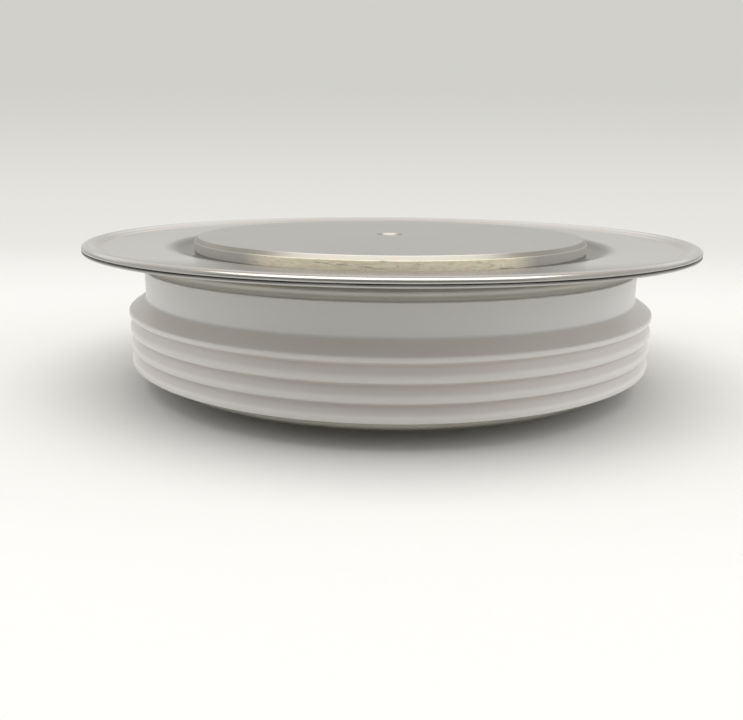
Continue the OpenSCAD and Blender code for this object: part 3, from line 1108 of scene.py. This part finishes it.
@dataclass
class Flanges:
    """Three formed sheets: the lid, the housing's sheet with its skirt, and the lower sheet."""

    capsule: Capsule
    trough_floor: float = 1.4
    trough_side: float = 3.0
    trough_rise: float = 0.65
    lid_bends: tuple[float, ...] = (2.0, 3.0, 0.35, 0.35)
    band_crown: float = 0.45
    band_crest: float = 0.62
    skirt_bulge: float = 0.3
    sheet_spread: float = 0.75
    sheet_gap: float = 0.2
    weld_bends: Pair = (0.5, 0.5)

    def lid_path(self) -> np.ndarray:
        """Middle line of the lid: trough beside the pole, gentle dish, step up to the welded band.

        The band climbs to its crest in a smooth step, which starts just beyond the rounded step,
        then rolls down to its start in a quarter of an ellipse.

        Returns:
            The points of the line, from the pole outwards.
        """
        c = self.capsule
        floor = c.height - c.face_lift - c.sheet / 2
        rim = c.weld_z + c.sheet / 2
        trough_r = c.pole_r + self.trough_floor
        corners = np.array([
            (c.pole_r, floor),
            (trough_r, floor),
            (trough_r + self.trough_side, floor + self.trough_rise),
            (c.weld_inner_r - c.weld_step_run, rim - c.weld_step),
            (c.weld_inner_r, rim),
            (c.flange_r - c.sheet / 2, rim),
        ])
        path = round_corners(corners, np.array(self.lid_bends))[:-1]
        climb = np.linspace(0, 1, 21)[3:]
        rise = climb ** 2 * (3 - 2 * climb)
        turn = np.linspace(0, math.pi / 2, 17)[1:]
        beyond = self.band_crest + (1 - self.band_crest) * np.sin(turn)
        across = np.hstack([self.band_crest * climb, beyond])
        lift = self.band_crown * np.hstack([rise, np.cos(turn)])
        band_r = c.weld_inner_r + across * (c.weld_width - c.sheet / 2)
        return np.vstack([path, np.column_stack([band_r, rim + lift])])

    def housing_path(self) -> np.ndarray:
        """Middle line of the housing's sheet: foot, skirt, spread flange and weld.

        The skirt's bulge is one wave of a raised cosine.

        Returns:
            The points of the line, from the foot outwards.
        """
        c = self.capsule
        foot = c.ceramic_top + c.sheet / 2
        rim = c.weld_z - c.sheet / 2
        high = rim - c.weld_step - self.sheet_spread - c.bend_r
        t = np.linspace(0, 1, 33)[1:-1]
        swell = self.skirt_bulge * (1 - np.cos(2 * math.pi * t)) / 2
        bulge = np.column_stack([c.skirt_r + swell, foot + (high - foot) * t])
        outer = np.array([
            (c.skirt_r + c.bend_r, high + c.bend_r),
            (c.weld_inner_r - c.weld_step_run, rim - c.weld_step - self.sheet_gap),
            (c.weld_inner_r + c.weld_step_run, rim),
            (c.flange_r - c.sheet / 2, rim),
        ])
        return np.vstack([
            [(c.skirt_r - c.foot_width, foot), (c.skirt_r, foot)],
            bulge,
            arc((c.skirt_r + c.bend_r, high), c.bend_r, 180, 90),
            round_corners(outer, np.array(self.weld_bends))[1:],
        ])

    def lower_path(self) -> np.ndarray:
        """Middle line of the lower sheet: from the pole out, up its short skirt, in to its foot.

        Returns:
            The points of the line, from the pole outwards.
        """
        c = self.capsule
        floor = c.face_lift + c.sheet / 2
        foot = c.ceramic_base - c.sheet / 2
        bend_centre = c.skirt_r - c.bend_r
        return np.vstack([
            [(c.pole_r, floor)],
            arc((bend_centre, floor + c.bend_r), c.bend_r, -90, 0),
            arc((bend_centre, foot - c.bend_r), c.bend_r, 0, 90),
            [(c.skirt_r - c.foot_width, foot)],
        ])

    def build(self, lid: bpy.types.Material, skirt: bpy.types.Material) -> None:
        """Builds the three sheets.

        Args:
            lid: Finish of the lid.
            skirt: Finish of the two sheets below it.
        """
        rows = (
            ("lid_sheet", self.lid_path(), "cathode_flange", lid),
            ("housing_sheet", self.housing_path(), "housing_flange", skirt),
            ("lower_sheet", self.lower_path(), "anode_flange", skirt),
        )
        for name, path, node, material in rows:
            piece = revolve(name, sheet_section(path, self.capsule.sheet), closed=True)
            place(piece, node, material)


@dataclass
class CeramicRing:
    """Glazed ring with a plain neck, a sloping shoulder and ribs that end in upright lips."""

    capsule: Capsule
    neck_height: float = 4.98
    shoulder_height: float = 2.11
    shoulder_fillet: float = 0.5
    rib_pitch: float = 2.86
    rib_count: int = 4
    lip_height: float = 0.73
    groove_opening: float = 0.45
    groove_depth: float = 0.9
    crest_rounding: float = 0.5
    lip_rounding: float = 0.22
    groove_rounding: float = 0.1
    end_chamfer: float = 0.15
    drill_start: float = 30.0
    drill_end: float = 60.0

    def profile(self) -> np.ndarray:
        """Closed section: bore, upper end, neck, shoulder, ribs and lower end.

        Returns:
            The points of the section, anticlockwise.
        """
        c = self.capsule
        shoulder = c.ceramic_top - self.neck_height
        root = c.rib_r - self.groove_depth
        corners = [
            (c.bore_r, c.ceramic_top, 0.0),
            (c.neck_r - self.end_chamfer, c.ceramic_top, self.lip_rounding),
            (c.neck_r, c.ceramic_top - self.end_chamfer, self.lip_rounding),
            (c.neck_r, shoulder, self.shoulder_fillet),
        ]
        for rib in range(self.rib_count):
            crest = shoulder - self.shoulder_height - rib * self.rib_pitch
            lip = crest - self.lip_height
            corners += [(c.rib_r, crest, self.crest_rounding)]
            if rib < self.rib_count - 1:
                corners += [
                    (c.rib_r, lip, self.lip_rounding),
                    (root, lip, self.groove_rounding),
                    (root, lip - self.groove_opening, self.groove_rounding),
                ]
        corners += [(c.rib_r, c.ceramic_base, self.lip_rounding), (c.bore_r, c.ceramic_base, 0.0)]
        outline = np.array(corners)
        return hold_flats(round_corners(outline[:, :2], outline[1:-1, 2]))[::-1]

    def build(self, material: bpy.types.Material) -> None:
        """Builds the ring and drills its gate hole.

        Args:
            material: Finish of the ring.
        """
        c = self.capsule
        piece = revolve("glazed_ring", self.profile(), closed=True)
        bit = np.array([(0.0, self.drill_start), (c.gate_r, self.drill_start),
                        (c.gate_r, self.drill_end), (0.0, self.drill_end)])
        drill = revolve("gate_drill", bit, closed=False, segments=48)
        lay_along_y(drill, c.gate_z)
        cut(piece, drill)
        place(piece, "ceramic_ring", material)


@dataclass
class GateTerminal:
    """Small tube with a braze collar that brings the gate lead through the ceramic."""

    capsule: Capsule
    inner_r: float = 0.6
    inner_length: float = 0.6
    collar_r: float = 1.7
    collar_thickness: float = 0.7
    outer_length: float = 7.5
    edge_r: float = 0.12

    def build(self, material: bpy.types.Material) -> None:
        """Builds the tube as a turned section laid along +Y.

        Args:
            material: Finish of the tube.
        """
        c = self.capsule
        start = c.bore_r - self.inner_length
        collar = c.neck_r + self.collar_thickness
        tip = collar + self.outer_length
        corners = np.array([
            (self.inner_r, (start + tip) / 2),
            (self.inner_r, start),
            (c.gate_r, start),
            (c.gate_r, c.neck_r),
            (self.collar_r, c.neck_r),
            (self.collar_r, collar),
            (c.gate_r, collar),
            (c.gate_r, tip),
            (self.inner_r, tip),
            (self.inner_r, (start + tip) / 2),
        ])
        section = round_corners(corners, np.full(len(corners) - 2, self.edge_r))[:-1]
        piece = revolve("gate_terminal", section, closed=True, segments=64)
        lay_along_y(piece, c.gate_z)
        place(piece, "gate_tube", material)


@dataclass(frozen=True)
class InnerStack:
    """Pieces sealed inside the capsule, which keep their CAD solids and get a finish each."""

    finishes: tuple[tuple[Plain, tuple[str, ...]], ...] = (
        (Plain("molybdenum", (0.50, 0.51, 0.53), (0.38, 0.39, 0.41), 1.0, (0.32, 0.5)),
         ("anode_moly_plate", "cathode_moly_plate")),
        (Plain("silicon", (0.30, 0.32, 0.39), (0.22, 0.24, 0.30), 0.6, (0.08, 0.16), 300.0),
         ("silicon_wafer",)),
        (Plain("seal_rubber", (0.86, 0.84, 0.80), (0.76, 0.74, 0.69), 0.0, (0.45, 0.6)), ("edge_seal",)),
        (Plain("silver", (0.88, 0.88, 0.87), (0.76, 0.76, 0.75), 1.0, (0.2, 0.34)), ("silver_shim",)),
        (Plain("white_plastic", (0.90, 0.90, 0.89), (0.82, 0.82, 0.80), 0.0, (0.4, 0.55)),
         ("centring_ring", "gate_cup", "gate_bush", "gate_sleeve")),
        (Plain("spring_steel", (0.56, 0.56, 0.58), (0.42, 0.42, 0.44), 1.0, (0.22, 0.36)), ("gate_spring",)),
        (Plain("contact_copper", (0.80, 0.50, 0.34), (0.66, 0.38, 0.25), 1.0, (0.24, 0.4)),
         ("gate_pin", "gate_wire")),
    )

    def dress(self) -> None:
        """Gives each sealed piece its finish."""
        for finish, nodes in self.finishes:
            material = finish.build()
            for node in nodes:
                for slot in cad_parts[node].material_slots:
                    slot.material = material
                log.info("%s: finish %s", node, finish.name)


# Studio


@dataclass
class Studio:
    """White paper sweep, wide overhead light, pale surroundings and the photograph's camera."""

    paper: Colour = (0.845, 0.838, 0.82)
    fibre: Colour = (0.5, 0.5, 0.5)
    fibre_scale: float = 900.0
    fibre_share: float = 0.01
    bounce: Colour = (0.50, 0.49, 0.468)
    paper_roughness: float = 0.9
    wall_low: Colour = (0.825, 0.818, 0.785)
    wall_high: Colour = (0.635, 0.63, 0.60)
    wall_peak: Colour = (1.0, 0.99, 0.965)
    fade_heights: Pair = (-25.0, 110.0)
    peak_heights: Pair = (172.0, 280.0)
    blend_depths: Pair = (60.0, 290.0)
    far_distances: Pair = (260.0, 560.0)
    half_width: float = 1600.0
    front: float = -900.0
    bend_start: float = 260.0
    bend_r: float = 260.0
    bend_steps: int = 48
    wall_top: float = 600.0
    hole_r: float = 35.78
    hole_half: float = 5.0
    panel_place: Point = (0.0, -50.0, 800.0)
    panel_size: Pair = (1150.0, 650.0)
    panel_power: float = 5.3
    panel_colour: Colour = (1.0, 0.985, 0.955)
    sky: Colour = (0.985, 0.99, 1.0)
    sky_level: float = 0.88
    sky_top_level: float = 0.35
    sky_turn: Pair = (0.5, 0.9)
    side_gain: float = 1.5
    seen_level: float = 0.97
    dim_share: float = 0.23
    mirror_share: float = 0.5
    dim_height: float = math.radians(5)
    dim_turn: float = math.radians(-7)
    dim_inner: float = math.radians(50)
    dim_outer: float = math.radians(66)
    picture_width: int = 743
    focal_pixels: float = 741.65
    sensor_width: float = 36.0
    clip: Pair = (0.005, 20.0)
    camera_back: float = 144.06
    camera_high: float = 38.44
    yaw: float = 0.0228
    pitch: float = 0.2546
    roll: float = -0.0072

    @staticmethod
    def seen(graph: Graph) -> Socket:
        """Mask of the rays that show a surface by sight, in a mirror or through glass.

        Args:
            graph: Graph that the nodes go into.

        Returns:
            One for those rays, and zero for rays of light.
        """
        rays = graph.add("LightPath").outputs
        shown = graph.math("MAXIMUM", rays["Is Camera Ray"], rays["Is Glossy Ray"])
        return graph.math("MAXIMUM", shown, rays["Is Transmission Ray"])

    @staticmethod
    def step(graph: Graph, length: Socket, reach: Pair) -> Socket:
        """Smooth step of a length in metres over a reach in millimetres."""
        return graph.ramp(length, reach[0] * MM, reach[1] * MM)

    def paper_mesh(self) -> bpy.types.Object:
        """Sheet that lies flat, bends up in a quarter circle and rises, with a hole below the part.

        Returns:
            The new object.
        """
        bend = arc((self.bend_start, self.bend_r), self.bend_r, -90, 0, self.bend_steps)
        path = np.vstack([[(self.front, 0.0)], bend, [(self.bend_start + self.bend_r, self.wall_top)]])
        across = np.array([-self.half_width, self.half_width])
        points = np.concatenate([
            np.broadcast_to(across[None, :, None], (len(path), 2, 1)),
            np.broadcast_to(path[:, None, :], (len(path), 2, 2)),
        ], axis=2).reshape(-1, 3)
        row = np.arange(len(path) - 1) * 2
        paper = mesh_object("paper_sweep", points, [np.column_stack([row, row + 1, row + 3, row + 2])])
        plug = np.array([(0, -self.hole_half), (self.hole_r, -self.hole_half),
                         (self.hole_r, self.hole_half), (0, self.hole_half)])
        cut(paper, revolve("opening", plug, closed=False))
        return paper

    def sweep(self) -> None:
        """Paper below and behind the part.

        The flat floor is white to see and a middle tone for the light that it throws back. Where
        the paper rises, and far from the part, a painted glow takes over from the light: a pale tone that
        fades with height and brightens again higher up, a painted falloff of light seen only by sight, in
        mirrors and through glass. It is clear from below, so that the lower contact face can be looked at.
        """
        surface = Surface("paper")
        graph = surface.graph
        seen = self.seen(graph)
        pattern = graph.noise(surface.place, self.fibre_scale, 4.0)
        fibres = graph.ramp(pattern, *NOISE_SPAN, 0.0, self.fibre_share)
        colour = graph.mix(seen, self.bounce, graph.mix(fibres, self.paper, self.fibre))
        _, deep, high = graph.split(surface.place)
        distance = graph.add("VectorMath", surface.place, operation="LENGTH").outputs["Value"]
        away = graph.math("MAXIMUM", self.step(graph, deep, self.blend_depths),
                          self.step(graph, distance, self.far_distances))
        shown = graph.math("MULTIPLY", away, seen)
        # Painted glow of the rising paper: a painted falloff of light with height, brighter again higher up.
        tone = graph.mix(self.step(graph, high, self.fade_heights), self.wall_low, self.wall_high)
        surface.set(
            Base_Color=graph.mix(shown, colour, BLACK),
            Emission_Color=graph.mix(self.step(graph, high, self.peak_heights), tone, self.wall_peak),
            Emission_Strength=shown,
            Roughness=self.paper_roughness,
            Specular_IOR_Level=0.0,
        )
        below = graph.add("NewGeometry").outputs["Backfacing"]
        nothing = graph.add("BsdfTransparent").outputs[0]
        clear = graph.add("MixShader", below, surface.shader.outputs[0], nothing)
        graph.put(surface.output.inputs["Surface"], clear.outputs[0])
        surface.material.cycles.emission_sampling = "NONE"
        paper = self.paper_mesh()
        paper.data.materials.append(surface.material)

    def overhead(self) -> None:
        """Wide soft panel above the part, which faces the origin."""
        data = bpy.data.lights.new("overhead", "AREA")
        data.shape = "RECTANGLE"
        data.size, data.size_y = (length * MM for length in self.panel_size)
        data.energy = self.panel_power
        data.color = self.panel_colour
        back = np.array(self.panel_place) / np.linalg.norm(self.panel_place)
        side = np.cross((0.0, 1.0, 0.0), back)
        side = side / np.linalg.norm(side)
        self.stand("overhead", data, self.panel_place, (side, np.cross(back, side), back))

    def surroundings(self) -> None:
        """Sky that is pale to see, and dimmer for light and mirrors where the camera stands.

        Its light grows to both sides with the square of the sideways direction.
        """
        world = bpy.data.worlds.new("surroundings")
        bpy.context.scene.world = world
        world.use_nodes = True
        world.node_tree.nodes.clear()
        graph = Graph(world.node_tree)
        direction = graph.add("TexCoord").outputs["Generated"]
        sideways, _, high = graph.split(direction)
        level = math.cos(self.dim_height)
        across, ahead = math.sin(self.dim_turn), math.cos(self.dim_turn)
        middle = (level * across, -level * ahead, math.sin(self.dim_height))
        toward = graph.add("VectorMath", direction, middle, operation="DOT_PRODUCT").outputs["Value"]
        share = graph.ramp(toward, math.cos(self.dim_outer), math.cos(self.dim_inner), 1.0, self.dim_share)
        dome = graph.ramp(high, *self.sky_turn, self.sky_level, self.sky_top_level)
        sides = graph.math("MULTIPLY_ADD", graph.math("MULTIPLY", sideways, sideways), self.side_gain, 1.0)
        light = graph.math("MULTIPLY", graph.math("MULTIPLY", dome, sides), share)
        sight = graph.add("LightPath").outputs["Is Camera Ray"]
        mirrored = graph.math("MAXIMUM", share, self.mirror_share)
        shown = graph.math("MULTIPLY", graph.math("MAXIMUM", mirrored, sight), self.seen_level)
        seen = self.seen(graph)
        strength = graph.add("Mix", seen, data_type="FLOAT")
        graph.put(strength.inputs[2], light)
        graph.put(strength.inputs[3], shown)
        backdrop = graph.add("Background", graph.mix(seen, self.sky, self.wall_low), strength.outputs[0])
        graph.add("OutputWorld", backdrop.outputs[0])

    def camera(self) -> None:
        """Camera with the photograph's place, turn and field of view."""
        data = bpy.data.cameras.new("camera")
        data.sensor_fit = "HORIZONTAL"
        data.sensor_width = self.sensor_width
        data.lens = self.focal_pixels * self.sensor_width / self.picture_width
        data.clip_start, data.clip_end = self.clip
        right = np.array([math.cos(self.yaw), math.sin(self.yaw), 0.0])
        level = np.array([-math.sin(self.yaw), math.cos(self.yaw), 0.0])
        down = np.array([0.0, 0.0, -1.0])
        forward = math.cos(self.pitch) * level + math.sin(self.pitch) * down
        lower = math.cos(self.pitch) * down - math.sin(self.pitch) * level
        side = math.cos(self.roll) * right + math.sin(self.roll) * lower
        below = math.cos(self.roll) * lower - math.sin(self.roll) * right
        spot = (0.0, -self.camera_back, self.camera_high)
        bpy.context.scene.camera = self.stand("camera", data, spot, (side, -below, -forward))

    @staticmethod
    def stand(name: str, data: bpy.types.ID, spot: Point, axes: tuple[np.ndarray, ...]) -> bpy.types.Object:
        """Puts a light or a camera in the scene.

        Args:
            name: Name of the object.
            data: The light or the camera.
            spot: Its place in millimetres.
            axes: Directions of its own X, Y and Z axes.

        Returns:
            The new object.
        """
        thing = bpy.data.objects.new(name, data)
        turn = Matrix(np.column_stack(axes).tolist()).to_4x4()
        thing.matrix_world = Matrix.Translation([value * MM for value in spot]) @ turn
        bpy.context.scene.collection.objects.link(thing)
        return thing

    def build(self) -> None:
        """Sets the sweep, the light, the surroundings and the camera."""
        bpy.context.scene.view_settings.view_transform = "Standard"
        self.sweep()
        self.overhead()
        self.surroundings()
        self.camera()


def main() -> None:
    """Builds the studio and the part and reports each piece."""
    logging.basicConfig(level=logging.INFO, format="%(name)s %(message)s")
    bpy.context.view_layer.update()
    Studio().build()
    capsule = Capsule()
    plated = PlatedMetal(wall_radius=capsule.pole_r * MM).build()
    lid = FlangeSheet.for_lid(capsule).build()
    skirt = FlangeSheet.for_skirt(capsule).build()
    glaze = Glaze(neck_radius=capsule.neck_r * MM, lip_radius=capsule.rib_r * MM).build()
    for face in Face:
        ContactPole(capsule, face).build(plated)
    Flanges(capsule).build(lid, skirt)
    CeramicRing(capsule).build(glaze)
    GateTerminal(capsule).build(skirt)
    InnerStack().dress()


if __name__ == "__main__":
    main()
